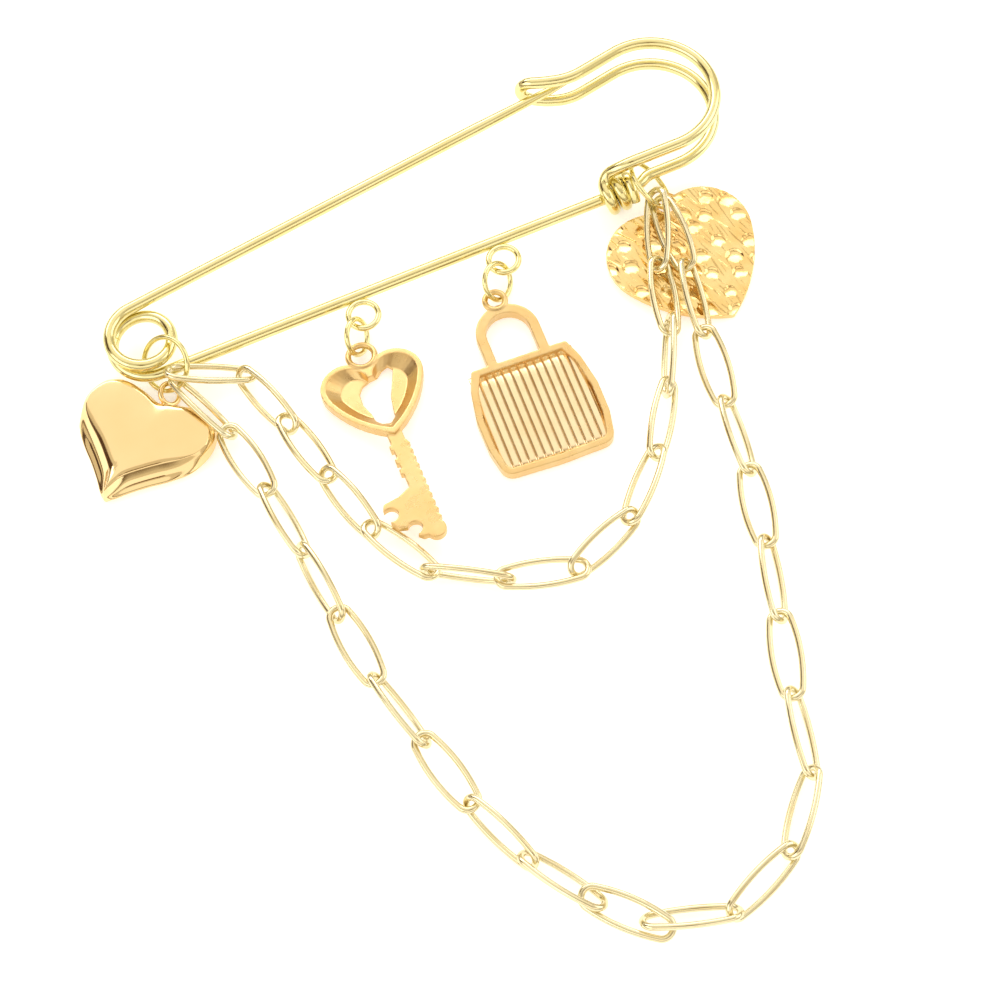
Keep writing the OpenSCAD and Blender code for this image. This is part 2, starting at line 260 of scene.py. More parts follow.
    @staticmethod
    def _noise(
        tree: bpy.types.NodeTree,
        place: bpy.types.Node,
        size_mm: float,
        detail: float,
        stretch: Point = (1.0, 1.0, 1.0),
        turn: float = 0.0,
    ) -> bpy.types.Node:
        """Adds a noise whose spots are about size_mm wide.

        Args:
            tree: The material's node tree.
            place: The texture coordinate node.
            size_mm: Width of a spot.
            detail: Octaves of the noise.
            stretch: Scale of the pattern along each axis.
            turn: Turn of the pattern about Z, in radians.

        Returns:
            The noise node.
        """
        where = tree.nodes.new("ShaderNodeMapping")
        where.inputs["Scale"].default_value = stretch
        where.inputs["Rotation"].default_value = (0.0, 0.0, turn)
        noise = tree.nodes.new("ShaderNodeTexNoise")
        noise.inputs["Scale"].default_value = 1.0 / (size_mm * MM)
        noise.inputs["Detail"].default_value = detail
        tree.links.new(place.outputs["Object"], where.inputs["Vector"])
        tree.links.new(where.outputs["Vector"], noise.inputs["Vector"])
        return noise


POLISHED_WIRE = GoldFinish(
    name="polished_pale_gold",
    bright=(0.84, 0.76, 0.41),
    deep=(0.80, 0.70, 0.33),
    polish_low=0.10,
    polish_high=0.20,
    cloud_mm=6.0,
    grain_mm=0.12,
    grain_height_mm=0.0006,
)
CHAIN_WIRE = GoldFinish(
    name="chain_pale_gold",
    bright=(0.82, 0.75, 0.51),
    deep=(0.78, 0.67, 0.41),
    polish_low=0.14,
    polish_high=0.24,
    cloud_mm=4.0,
    grain_mm=0.10,
    grain_height_mm=0.0006,
)
MIRROR_CHARM = GoldFinish(
    name="mirror_warm_gold",
    bright=(0.91, 0.70, 0.38),
    deep=(0.88, 0.65, 0.33),
    polish_low=0.08,
    polish_high=0.14,
    cloud_mm=7.0,
    grain_mm=0.15,
    grain_height_mm=0.0004,
)
SATIN_CHARM = GoldFinish(
    name="satin_warm_gold",
    bright=(0.77, 0.56, 0.27),
    deep=(0.75, 0.50, 0.21),
    polish_low=0.24,
    polish_high=0.36,
    cloud_mm=3.0,
    grain_mm=0.10,
    grain_height_mm=0.002,
    scratch_height_mm=0.001,
)
# The ribs' gold is lighter and paler than the padlock's own satin gold: a painted sheen for the
# light that the tops of the ribs catch
RIB_PAINTED_SHEEN = GoldFinish(
    name="ribbed_gold_painted_sheen",
    bright=(0.93, 0.75, 0.49),
    deep=(0.90, 0.69, 0.42),
    polish_low=0.16,
    polish_high=0.24,
    cloud_mm=3.0,
    grain_mm=0.10,
    grain_height_mm=0.001,
)
HAMMERED_CHARM = GoldFinish(
    name="hammered_warm_gold",
    bright=(0.92, 0.69, 0.32),
    deep=(0.89, 0.58, 0.22),
    polish_low=0.14,
    polish_high=0.24,
    cloud_mm=2.5,
    grain_mm=0.12,
    grain_height_mm=0.0015,
    scratch_height_mm=0.006,
)
GOLD_OF = {Kind.PIN: POLISHED_WIRE, Kind.CHAIN: CHAIN_WIRE, Kind.CHARM: SATIN_CHARM}


@dataclass
class Shell:
    """A mesh in the making: points in millimetres and faces."""

    points: np.ndarray
    faces: Faces

    def placed(self, turn_deg: float, at: Sequence[float]) -> "Shell":
        """Turns the shell about Z and moves it.

        Args:
            turn_deg: The turn, in degrees.
            at: The move, in millimetres.

        Returns:
            The shell in its new place.
        """
        a = math.radians(turn_deg)
        turn = np.array([[math.cos(a), math.sin(a), 0], [-math.sin(a), math.cos(a), 0], [0, 0, 1]])
        return Shell(self.points @ turn + np.asarray(at, float), self.faces)

    def joined(self, other: "Shell") -> "Shell":
        """Puts this shell and another into one mesh.

        Args:
            other: The other shell.

        Returns:
            Both in one.
        """
        n = len(self.points)
        more = [tuple(i + n for i in f) for f in other.faces]
        return Shell(np.vstack([self.points, other.points]), self.faces + more)

    def made(self, name: str, finish: GoldFinish, levels: int = 0) -> bpy.types.Object:
        """Makes the Blender object, in metres at the origin.

        Args:
            name: Name of the object.
            finish: Its gold finish.
            levels: Subdivision levels, applied to the mesh.

        Returns:
            The object, linked to the scene.
        """
        mesh = bpy.data.meshes.new(name)
        mesh.from_pydata((self.points * MM).tolist(), [], self.faces)
        mesh.validate()
        obj = linked(name, mesh)
        recalc_normals(mesh)
        if levels:
            sub = obj.modifiers.new("rounding", "SUBSURF")
            sub.levels = sub.render_levels = levels
            bake_modifiers(obj)
        finish_mesh(obj, finish)
        return obj


def linked(name: str, data: bpy.types.ID) -> bpy.types.Object:
    """Makes an object of some data and links it to the scene.

    Args:
        name: Name of the object.
        data: Its mesh, camera or light.

    Returns:
        The object.
    """
    obj = bpy.data.objects.new(name, data)
    bpy.context.scene.collection.objects.link(obj)
    return obj


def recalc_normals(mesh: bpy.types.Mesh) -> None:
    """Merges doubles and points every face outwards.

    Args:
        mesh: The mesh, in metres.
    """
    bm = bmesh.new()
    bm.from_mesh(mesh)
    bmesh.ops.remove_doubles(bm, verts=bm.verts, dist=SAME_POINT_M)
    bmesh.ops.recalc_face_normals(bm, faces=bm.faces)
    bm.to_mesh(mesh)
    bm.free()


def bake_modifiers(obj: bpy.types.Object) -> None:
    """Turns an object's evaluated shape into its plain mesh and drops the modifiers.

    Args:
        obj: The object.
    """
    graph = bpy.context.evaluated_depsgraph_get()
    graph.update()
    made = bpy.data.meshes.new_from_object(obj.evaluated_get(graph), depsgraph=graph)
    obj.modifiers.clear()
    obj.data = made


def finish_mesh(obj: bpy.types.Object, finish: GoldFinish) -> None:
    """Gives an object one finish and smooth shading.

    Args:
        obj: The object.
        finish: Its gold finish.
    """
    obj.data.materials.clear()
    obj.data.materials.append(finish.material())
    obj.data.polygons.foreach_set("use_smooth", [True] * len(obj.data.polygons))
    obj.data.update()


def hand_over(obj: bpy.types.Object, node: str) -> None:
    """Seats a finished piece of a charm in the frame.

    Args:
        obj: The piece.
        node: The charm's node, which the piece stands for.
    """
    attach(obj, BODY)
    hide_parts(node)
    LOG.info("%s: %d faces, stands for %s", obj.name, len(obj.data.polygons), node)


def tube_faces(rings: int, around: int) -> Faces:
    """The walls between rings of points that follow each other, and a cap on either end.

    Args:
        rings: Number of rings.
        around: Points in each ring.

    Returns:
        The faces.
    """
    walls: Faces = [
        (
            k * around + i,
            k * around + (i + 1) % around,
            (k + 1) * around + (i + 1) % around,
            (k + 1) * around + i,
        )
        for k in range(rings - 1)
        for i in range(around)
    ]
    return walls + [tuple(range(around)), tuple(range((rings - 1) * around, rings * around))]


def ring_shell(
    middle: Sequence[float],
    radius: float,
    wire: float,
    turn_deg: float = 0.0,
    lean_deg: float = 90.0,
    around: int = 64,
    section: int = 20,
) -> Shell:
    """A closed ring of round wire whose plane stands along a heading and leans.

    Args:
        middle: Middle of the ring.
        radius: To the middle of the wire.
        wire: Diameter of the wire.
        turn_deg: Heading of the ring's plane, in degrees.
        lean_deg: Lean of the plane from upright, in degrees; 90 lies flat.
        around: Steps round the ring.
        section: Steps round the wire.

    Returns:
        The ring.
    """
    turn, rise = math.radians(turn_deg), math.radians(90.0 - lean_deg)
    ahead = np.array([math.cos(turn), math.sin(turn), 0.0])
    left = np.array([-math.sin(turn), math.cos(turn), 0.0])
    across = math.cos(rise) * left + math.sin(rise) * np.array([0.0, 0.0, 1.0])
    normal = np.cross(ahead, across)
    points = []
    faces = []
    for i in range(around):
        a = math.tau * i / around
        out = math.cos(a) * ahead + math.sin(a) * across
        for k in range(section):
            s = math.tau * k / section
            reach = radius + wire / 2 * math.cos(s)
            points.append(np.asarray(middle) + out * reach + normal * wire / 2 * math.sin(s))
    for i in range(around):
        j = (i + 1) % around
        for k in range(section):
            m = (k + 1) % section
            faces.append((i * section + k, j * section + k, j * section + m, i * section + m))
    return Shell(np.array(points), faces)


@dataclass(frozen=True)
class RimRow:
    """One place on the right half of the puffy heart: on its rim, and on the edge of its face.

    Attributes:
        rim_x: X on the rim.
        rim_y: Y on the rim.
        face_x: X on the edge of the face.
        face_y: Y on the edge of the face.
        pinch: How far the side between them is pinched in, from 0 to 1.
    """

    rim_x: float
    rim_y: float
    face_x: float
    face_y: float
    pinch: float

    def vector(self) -> np.ndarray:
        """The row as numbers."""
        return np.array([self.rim_x, self.rim_y, self.face_x, self.face_y, self.pinch])


# Turns a row of the right half of the puffy heart into one of the left half
MIRROR = np.array([-1.0, 1.0, -1.0, 1.0, 1.0])


@dataclass
class PuffyHeart:
    """The puffy hollow heart: a flat-faced front pinched in beside its point, over a plain back.

    Attributes:
        thickness: Thickness of the heart.
        drawn_thickness: Thickness that the heights in layers() are given for.
        middle: Middle of the face, where the layers close.
        at: Place of the notch's top, from the coil.
        shift_x: How far the body stands to the side of its neck.
        turn_deg: Turn of the heart about Z.
        eye_at: Middle of the ring.
        eye_radius: Radius of the ring, to the middle of its wire.
        eye_wire: Diameter of the ring's wire.
        eye_turn_deg: Heading of the ring's plane.
        eye_lean_deg: Lean of the ring's plane.
        neck_z: Height of the neck's middle.
        neck_around: Points round the neck.
        neck_rows: Y and radius of the neck, from the ring into the body.
        steps: Steps from one row of the rim to the next.
        rounding: Subdivision levels of the body.
        rows: The right half of the heart, from the notch to the point.
    """

    thickness: float = 2.8
    drawn_thickness: float = 2.8
    middle: tuple[float, float] = (0.0, -5.5)
    at: Point = (0.3, -7.05, 0.0)
    shift_x: float = -0.4
    turn_deg: float = -49.0
    eye_at: Point = (0.7, -6.5, 1.2)
    eye_radius: float = 1.2
    eye_wire: float = 0.6
    eye_turn_deg: float = 48.0
    eye_lean_deg: float = 46.0
    neck_z: float = 1.2
    neck_around: int = 24
    neck_rows: tuple[tuple[float, float], ...] = (
        (-0.62, 0.36),
        (-0.75, 0.42),
        (-1.0, 0.5),
        (-1.6, 0.6),
        (-2.4, 0.62),
    )
    steps: int = 6
    rounding: int = 2
    rows: tuple[RimRow, ...] = (
        RimRow(0.0, -0.85, 0.0, -1.75, 0.0),
        RimRow(1.8, -0.35, 1.65, -1.2, 0.0),
        RimRow(3.8, 0.1, 3.7, -0.7, 0.0),
        RimRow(5.6, 0.0, 5.3, -0.8, 0.0),
        RimRow(7.0, -0.85, 6.45, -1.45, 0.0),
        RimRow(7.8, -2.4, 7.2, -2.7, 0.0),
        RimRow(8.0, -3.9, 7.4, -3.9, 0.0),
        RimRow(7.7, -5.5, 6.9, -5.2, 0.15),
        RimRow(6.95, -7.15, 5.7, -6.5, 0.6),
        RimRow(5.3, -8.9, 3.95, -7.85, 1.0),
        RimRow(3.6, -10.35, 2.35, -9.25, 1.0),
        RimRow(2.0, -11.9, 0.95, -10.7, 1.0),
        RimRow(0.85, -13.2, 0.35, -12.2, 0.9),
        RimRow(0.0, -13.85, 0.0, -13.45, 0.5),
    )

    def smooth_rows(self) -> np.ndarray:
        """The whole rim, clockwise from the notch, on a smooth line through the rows.

        Returns:
            One line of numbers for each place, in the order of RimRow.
        """
        line = [row.vector() for row in self.rows]
        line = [line[1] * MIRROR] + line + [2 * line[-1] - line[-2]]
        right = []
        for a, b, c, d in zip(line, line[1:], line[2:], line[3:]):
            for k in range(self.steps):
                t = k / self.steps
                bend = (2 * a - 5 * b + 4 * c - d) * t**2 + (3 * b - a - 3 * c + d) * t**3
                right.append(0.5 * (2 * b + (c - a) * t + bend))
        right.append(line[-2])
        half = np.array(right)
        return np.vstack([half, half[1:-1][::-1] * MIRROR])

    def layers(self) -> list[Layer]:
        """The way inwards, and the height there on a puffy side and on a pinched one.

        The way is 0 on the rim and 1 on the edge of the face; past 1 it goes on to the middle.

        Returns:
            Rows of way, height on a puffy side and height on a pinched one, from the back up.
        """
        back = [(1.99, 0, 0), (1.5, 0, 0), (1.12, 0, 0), (0.9, 0.02, 0.02), (0.6, 0.12, 0.12)]
        side = [(0.32, 0.32, 0.32), (0.12, 0.6, 0.6), (0.04, 0.78, 0.78)]
        seam = [(-0.01, 0.84, 0.84), (-0.03, 0.9, 0.9), (-0.03, 0.98, 0.98), (0.0, 1.04, 1.04)]
        flank = [(0.03, 1.08, 1.08), (0.08, 1.35, 1.11), (0.18, 1.68, 1.14), (0.32, 1.95, 1.18)]
        wall = [(0.42, 2.1, 1.23), (0.56, 2.25, 1.4), (0.7, 2.36, 1.64), (0.84, 2.46, 1.97)]
        edge = [(0.95, 2.53, 2.24), (1.0, 2.56, 2.38), (1.03, 2.58, 2.45)]
        face = [(1.12, 2.63, 2.6), (1.3, 2.69, 2.68), (1.5, 2.74, 2.74)]
        crown = [(1.75, 2.78, 2.78), (1.99, 2.8, 2.8)]
        return back + side + seam + flank + wall + edge + face + crown

    def body(self) -> Shell:
        """The puffy body, layer by layer.

        Returns:
            The body about its own notch.
        """
        rows = self.smooth_rows()
        rim, edge, pinch = rows[:, :2], rows[:, 2:4], np.clip(rows[:, 4:5], 0, 1)
        middle = np.array(self.middle)
        points = []
        for way, puffy, pinched in self.layers():
            if way > 1:
                flat = edge + (way - 1) * (middle - edge)
            else:
                flat = rim + way * (edge - rim)
            height = puffy + pinch * (pinched - puffy)
            points.append(np.hstack([flat, height * self.thickness / self.drawn_thickness]))
        return Shell(np.vstack(points), tube_faces(len(points), len(rows)))

    def neck(self) -> Shell:
        """The short stem between the ring and the body.

        Returns:
            The stem along Y, from the heart's notch.
        """
        n = self.neck_around
        points = [
            (
                r * math.cos(math.tau * i / n),
                y,
                self.neck_z + r * math.sin(math.tau * i / n),
            )
            for y, r in self.neck_rows
            for i in range(n)
        ]
        return Shell(np.array(points), tube_faces(len(self.neck_rows), n))

    def build(self) -> None:
        """Makes the heart and its ring."""
        place = SEAT + self.at
        body = self.body().placed(0, (self.shift_x, 0, 0)).placed(self.turn_deg, place)
        hand_over(body.made("puffy_heart_body", MIRROR_CHARM, self.rounding), "heart_puffy")
        ring = ring_shell(
            SEAT + self.eye_at,
            self.eye_radius,
            self.eye_wire,
            self.eye_turn_deg,
            self.eye_lean_deg,
        )
        ring = ring.joined(self.neck().placed(self.turn_deg, place))
        hand_over(ring.made("puffy_heart_ring", MIRROR_CHARM), "heart_puffy")


@dataclass
class CastCopy:
    """A fine even skin over one of the frame's solids, with its edges softened as on a casting.

    Attributes:
        node: The solid's object.
        grid: Size of the skin's faces.
        rounds: Rounds of softening.
        same_point: Points of the solid closer than this are one point.
        step_in: Step towards the neighbours' mean in each round.
        step_back: Step back after it, which keeps the skin from shrinking.
    """

    node: bpy.types.Object
    grid: float
    rounds: int
    same_point: float = 0.0005
    step_in: float = 0.5
    step_back: float = -0.4

    def skin(self) -> bpy.types.Object:
        """Wraps the solid in even faces.

        Returns:
            The skin's object, in millimetres.
        """
        data = self.node.data.copy()
        data.transform(Matrix.Scale(1 / MM, 4))
        bm = bmesh.new()
        bm.from_mesh(data)
        bmesh.ops.remove_doubles(bm, verts=bm.verts, dist=self.same_point)
        bm.to_mesh(data)
        bm.free()
        work = linked("skin", data)
        wrap = work.modifiers.new("skin", "REMESH")
        wrap.mode = "VOXEL"
        wrap.voxel_size = self.grid
        wrap.adaptivity = 0.0
        bake_modifiers(work)
        return work

    def softened(self, points: np.ndarray, edges: np.ndarray) -> np.ndarray:
        """One round of smoothing.

        Args:
            points: The skin's points.
            edges: Its edges, as pairs of points.

        Returns:
            The points after a step towards the neighbours' mean and most of a step back.
        """
        for step in (self.step_in, self.step_back):
            total = np.zeros_like(points)
            count = np.zeros(len(points))
            for a, b in ((0, 1), (1, 0)):
                np.add.at(total, edges[:, a], points[edges[:, b]])
                np.add.at(count, edges[:, a], 1)
            points = points + step * (total / np.maximum(count, 1)[:, None] - points)
        return points

    def shell(self) -> tuple[Shell, np.ndarray]:
        """Wraps the solid and softens its edges.

        Returns:
            The skin, and its points' outward normals.
        """
        work = self.skin()
        made = work.data
        size = len(made.vertices) * 3
        points = np.empty(size)
        made.vertices.foreach_get("co", points)
        points = points.reshape(-1, 3)
        edges = np.empty(len(made.edges) * 2, int)
        made.edges.foreach_get("vertices", edges)
        edges = edges.reshape(-1, 2)
        quads = [tuple(p.vertices) for p in made.polygons]
        for _ in range(self.rounds):
            points = self.softened(points, edges)
        made.vertices.foreach_set("co", points.ravel())
        made.update()
        normals = np.empty(size)
        made.vertices.foreach_get("normal", normals)
        bpy.data.objects.remove(work)
        return Shell(points, quads), normals.reshape(-1, 3)


@dataclass(frozen=True)
class Flute:
    """One long mark of the hammer's edge.

    Attributes:
        x: X of its middle.
        y: Y of its middle.
        half_length: Half its length.
        half_width: Half its width.
        depth: Its depth in the middle.
        heading_deg: Heading of its length.
    """

    x: float
    y: float
    half_length: float
    half_width: float
    depth: float
    heading_deg: float

    def depth_at(self, points: np.ndarray) -> np.ndarray:
        """How deep the mark is at each point; below 0 outside it.

        Args:
            points: The sheet's points.

        Returns:
            The depths.
        """
        a = math.radians(self.heading_deg)
        away = points[:, :2] - (self.x, self.y)
        along = (away @ (math.cos(a), math.sin(a))) / self.half_length
        across = (away @ (-math.sin(a), math.cos(a))) / self.half_width
        return self.depth * (1 - along**2 - across**2)


@dataclass
class HammeredHeart:
    """The flat heart whose face is beaten with long flutes and round dents.

    Attributes:
        node: The sheet's object in the frame.
        grid: Size of the sheet's faces.
        rounds: Rounds of softening of its edge.
        face_up: Z of the normal from which a point begins to belong to the face.
        face_blend: How much more Z the normal has where the point belongs to it wholly.
        flute_pitch: Distance between flutes, across and along the heart.
        flute_wander: How far a flute strays from its place, each way.
        flute_heading_deg: Heading of the flutes.
        flute_heading_spread: How far their headings stray.
        flute_length: Length of a flute.
        flute_half_width: Half its width.
        flute_size_span: Least and greatest share of that length and of that width.
        flute_depth: Depth of the deepest flute.
        flute_depth_span: Least and greatest share of that depth.
        dent_pitch: Distance between dents.
        dent_wander: How far a dent strays from its place.
        dent_radius: Radius of a dent.
        dent_size_span: Least and greatest share of that radius.
        dent_heading_deg: Heading along which the floor of a dent goes down.
        dent_lean: Slope of that floor.
        dent_bite: Where that floor begins, as a share of the radius behind the dent's middle.
        dent_crispness: Power that keeps a dent's floor flat up to its edge.
        seed: Seed of what is random.
    """

    node: bpy.types.Object
    grid: float = 0.085
    rounds: int = 3
    face_up: float = 0.5
    face_blend: float = 0.4
    flute_pitch: tuple[float, float] = (1.1, 1.9)
    flute_wander: tuple[float, float] = (0.25, 0.9)
    flute_heading_deg: float = -71.0
    flute_heading_spread: float = 8.0
    flute_length: float = 5.0
    flute_half_width: float = 0.34
    flute_size_span: Span = (0.8, 1.2)
    flute_depth: float = 0.13
    flute_depth_span: Span = (0.6, 1.0)
    dent_pitch: float = 2.75
    dent_wander: float = 0.4
    dent_radius: float = 1.15
    dent_size_span: Span = (0.75, 1.1)
    dent_heading_deg: float = 71.3
    dent_lean: float = 0.24
    dent_bite: float = 0.8
    dent_crispness: int = 3
    seed: int = 7

    def dents(self, low: np.ndarray, high: np.ndarray) -> list[Point]:
        """The places and sizes of the round dents.

        Args:
            low: Lowest corner of the heart.
            high: Highest corner of the heart.

        Returns:
            Rows of x, y and radius.
        """
        rng = np.random.default_rng(self.seed)
        rows = []
        pitch = self.dent_pitch
        for i, x in enumerate(np.arange(low[0], high[0] + pitch, pitch)):
            for y in np.arange(low[1] + (i % 2) * pitch / 2, high[1] + pitch, pitch):
                shift = rng.normal(0, self.dent_wander, 2)
                radius = self.dent_radius * rng.uniform(*self.dent_size_span)
                rows.append((x + shift[0], y + shift[1], radius))
        return rows

    def flutes(self, low: np.ndarray, high: np.ndarray) -> list[Flute]:
        """The places and sizes of the long flutes.

        Args:
            low: Lowest corner of the heart.
            high: Highest corner of the heart.

        Returns:
            The flutes.
        """
        rng = np.random.default_rng(self.seed + 1)
        rows = []
        (step_x, step_y), (stray_x, stray_y) = self.flute_pitch, self.flute_wander
        for x in np.arange(low[0], high[0] + step_x, step_x):
            for y in np.arange(low[1], high[1] + step_y, step_y):
                size = rng.uniform(*self.flute_size_span, 2)
                flute = Flute(
                    x=x + rng.normal(0, stray_x),
                    y=y + rng.uniform(-stray_y, stray_y),
                    half_length=self.flute_length / 2 * size[0],
                    half_width=self.flute_half_width * size[1],
                    depth=self.flute_depth * rng.uniform(*self.flute_depth_span),
                    heading_deg=self.flute_heading_deg + rng.normal(0, self.flute_heading_spread),
                )
                rows.append(flute)
        return rows

    def beaten(self, points: np.ndarray) -> np.ndarray:
        """How deep the hammer has driven each point of the face.

        Args:
            points: The sheet's points.

        Returns:
            The depths.
        """
        low, high = points.min(0), points.max(0)
        sunk = np.zeros(len(points))
        for flute in self.flutes(low, high):
            sunk = np.maximum(sunk, flute.depth_at(points))
        a = math.radians(self.dent_heading_deg)
        downhill = np.array([math.cos(a), math.sin(a)])
        for x, y, radius in self.dents(low, high):
            away = points[:, :2] - (x, y)
            share = np.hypot(away[:, 0], away[:, 1]) / radius
            inside = np.clip(1 - share**self.dent_crispness, 0, 1)
            floor = inside * self.dent_lean * (away @ downhill + self.dent_bite * radius)
            sunk = sunk * (1 - inside) + floor
        return sunk

    def build(self) -> None:
        """Makes the beaten sheet."""
        sheet, normals = CastCopy(self.node, self.grid, self.rounds).shell()
        face = np.clip((normals[:, 2] - self.face_up) / self.face_blend, 0, 1)
        sheet.points[:, 2] -= face * self.beaten(sheet.points)
        hand_over(sheet.made("hammered_heart_sheet", HAMMERED_CHARM), "heart_hammered")


@dataclass
class KeyCharm:
    """The key with its dished heart bow, saw-edged shank and two-toothed bit.

    Attributes:
        node: The key's object in the frame.
        grid: Size of the casting's faces.
        rounds: Rounds of softening of its edges.
    """

    node: bpy.types.Object
    grid: float = 0.075
    rounds: int = 2

    def build(self) -> None:
        """Makes the cast key."""
        casting, _ = CastCopy(self.node, self.grid, self.rounds).shell()
        hand_over(casting.made("key_casting", SATIN_CHARM), "key")


@dataclass
class PadlockCharm:
    """The padlock, seen from its hollow back with the row of ribs in its recess.

    Attributes:
        node: The padlock's object in the frame.
        grid: Size of the casting's faces.
        rounds: Rounds of softening of its edges.
        at: Place of the eye, from the coil.
        turn_deg: Turn of the padlock about Z.
        body_drop: Distance from the eye down to the body's own origin.
        rib_top: Upper end of the ribs, from that origin.
        rib_foot: Lower end of the ribs, from that origin.
        ribs: Number of ribs.
        rib_pitch: Distance between two ribs.
        rib_width: Width of a rib.
        rib_height: Height of a rib.
        rib_section: Steps over the back of a rib.
        rib_fullness: Power of its section: 1 is round, and near 0 is square.
        rib_profile: Place along a rib, as a share of its length, and share of its height there.
        floor_z: Height of the recess's floor.
    """

    node: bpy.types.Object
    grid: float = 0.092
    rounds: int = 2
    at: Point = (38.3, -10.9, 0.3)
    turn_deg: float = -3.8
    body_drop: float = 8.2
    rib_top: float = 0.15
    rib_foot: float = -12.3
    ribs: int = 13
    rib_pitch: float = 0.94
    rib_width: float = 0.93
    rib_height: float = 0.4
    rib_section: int = 16
    rib_fullness: float = 0.35
    rib_profile: tuple[tuple[float, float], ...] = (
        (-0.5, 0.5),
        (-0.49, 0.75),
        (-0.475, 0.95),
        (-0.45, 1.0),
        (0.0, 1.0),
        (0.3, 1.0),
        (0.34, 0.98),
        (0.38, 0.9),
        (0.42, 0.75),
        (0.46, 0.55),
        (0.49, 0.35),
        (0.5, 0.2),
    )
    floor_z: float = 0.43

    def rib_mesh(self, length: float) -> bpy.types.Object:
        """One rib with a rounded back and sloping ends, about its middle, along Y.

        Args:
            length: Length of the rib.

        Returns:
            The rib's object, in metres.
        """
        points = []
        for share, full in self.rib_profile:
            for k in range(self.rib_section + 1):
                a = math.pi * k / self.rib_section
                up = self.rib_height * full * max(math.sin(a), 0.0) ** self.rib_fullness
                points.append((self.rib_width / 2 * math.cos(a), share * length, up))
        faces = tube_faces(len(self.rib_profile), self.rib_section + 1)
        # The rib gets the lighter gold of painted sheen
        return Shell(np.array(points), faces).made("rib_pattern", RIB_PAINTED_SHEEN)

    @staticmethod
    def rib_tree(rib: bpy.types.Object) -> bpy.types.NodeTree:
        """The node tree that sets a row of ribs side by side.

        Args:
            rib: The object of one rib.

        Returns:
            The tree, with inputs Count and Pitch.
        """
        tree = bpy.data.node_groups.new("rib_row", "GeometryNodeTree")
        sockets = tree.interface
        sockets.new_socket("Geometry", in_out="INPUT", socket_type="NodeSocketGeometry")
        sockets.new_socket("Count", in_out="INPUT", socket_type="NodeSocketInt")
        sockets.new_socket("Pitch", in_out="INPUT", socket_type="NodeSocketFloat")
        sockets.new_socket("Geometry", in_out="OUTPUT", socket_type="NodeSocketGeometry")
        ins = tree.nodes.new("NodeGroupInput")
        outs = tree.nodes.new("NodeGroupOutput")
        line = tree.nodes.new("GeometryNodeMeshLine")
        line.mode = "OFFSET"
        step = tree.nodes.new("ShaderNodeCombineXYZ")
        source = tree.nodes.new("GeometryNodeObjectInfo")
        source.inputs["Object"].default_value = rib
        stand = tree.nodes.new("GeometryNodeInstanceOnPoints")
        real = tree.nodes.new("GeometryNodeRealizeInstances")
        dress = tree.nodes.new("GeometryNodeSetMaterial")
        # Every rib gets the lighter gold of painted sheen
        dress.inputs["Material"].default_value = RIB_PAINTED_SHEEN.material()
        tree.links.new(ins.outputs["Count"], line.inputs["Count"])
        tree.links.new(ins.outputs["Pitch"], step.inputs["X"])
        tree.links.new(step.outputs["Vector"], line.inputs["Offset"])
        tree.links.new(line.outputs["Mesh"], stand.inputs["Points"])
        tree.links.new(source.outputs["Geometry"], stand.inputs["Instance"])
        tree.links.new(stand.outputs["Instances"], real.inputs["Geometry"])
        tree.links.new(real.outputs["Geometry"], dress.inputs["Geometry"])
        tree.links.new(dress.outputs["Geometry"], outs.inputs["Geometry"])
        return tree

    def rib_row(self) -> bpy.types.Object:
        """All the ribs in one mesh, laid in the recess.

        Returns:
            The row's object, in metres.
        """
        rib = self.rib_mesh(self.rib_top - self.rib_foot)
        row = linked("padlock_ribs", bpy.data.meshes.new("padlock_ribs"))
        nodes = row.modifiers.new("ribs", "NODES")
        tree = self.rib_tree(rib)
        nodes.node_group = tree
        sockets = {s.name: s.identifier for s in tree.interface.items_tree if s.in_out == "INPUT"}
        nodes[sockets["Count"]] = self.ribs
        nodes[sockets["Pitch"]] = self.rib_pitch * MM
        bake_modifiers(row)
        bpy.data.objects.remove(rib)
        left = -self.rib_pitch * (self.ribs - 1) / 2
        middle = -self.body_drop + (self.rib_top + self.rib_foot) / 2
        shift = Matrix.Translation(Vector((left, middle, self.floor_z)) * MM)
        turn = Matrix.Rotation(math.radians(self.turn_deg), 4, "Z")
        place = Matrix.Translation(Vector(SEAT + self.at) * MM) @ turn
        row.data.transform(place @ shift)
        # The ribs keep their lighter gold of painted sheen
        finish_mesh(row, RIB_PAINTED_SHEEN)
        return row

    def build(self) -> None:
        """Makes the cast body with its shackle, and the ribs."""
        casting, _ = CastCopy(self.node, self.grid, self.rounds).shell()
        hand_over(casting.made("padlock_casting", SATIN_CHARM), "padlock")
        hand_over(self.rib_row(), "padlock")


@dataclass
class WireWork:
    """The pin, the rings and the chains, which keep the frame's own shapes.

    Attributes:
        nodes: The frame's objects by name.
    """

    nodes: dict[str, bpy.types.Object]

    def dress(self) -> None:
        """Gives every node the gold of its kind."""
        for name, obj in self.nodes.items():
            finish = GOLD_OF[Kind.of(name)]
            for place in obj.material_slots:
                place.material = finish.material()
            LOG.info("%s dressed in %s", name, finish.name)


@dataclass(frozen=True)
class SoftBox:
    """A soft box that faces the brooch.

    Attributes:
        name: Name of the light.
        at: Its place, in metres.
        size: Its width and height, in metres.
        power: Its power, in watts.
    """

    name: str
    at: Point
    size: tuple[float, float]
    power: float

    def hang(self) -> None:
        """Hangs the soft box."""
        data = bpy.data.lights.new(self.name, "AREA")
        data.shape = "RECTANGLE"
        data.size, data.size_y = self.size
        data.energy = self.power
        light = linked(self.name, data)
        light.location = self.at
        light.rotation_euler = (-Vector(self.at)).to_track_quat("-Z", "Y").to_euler()


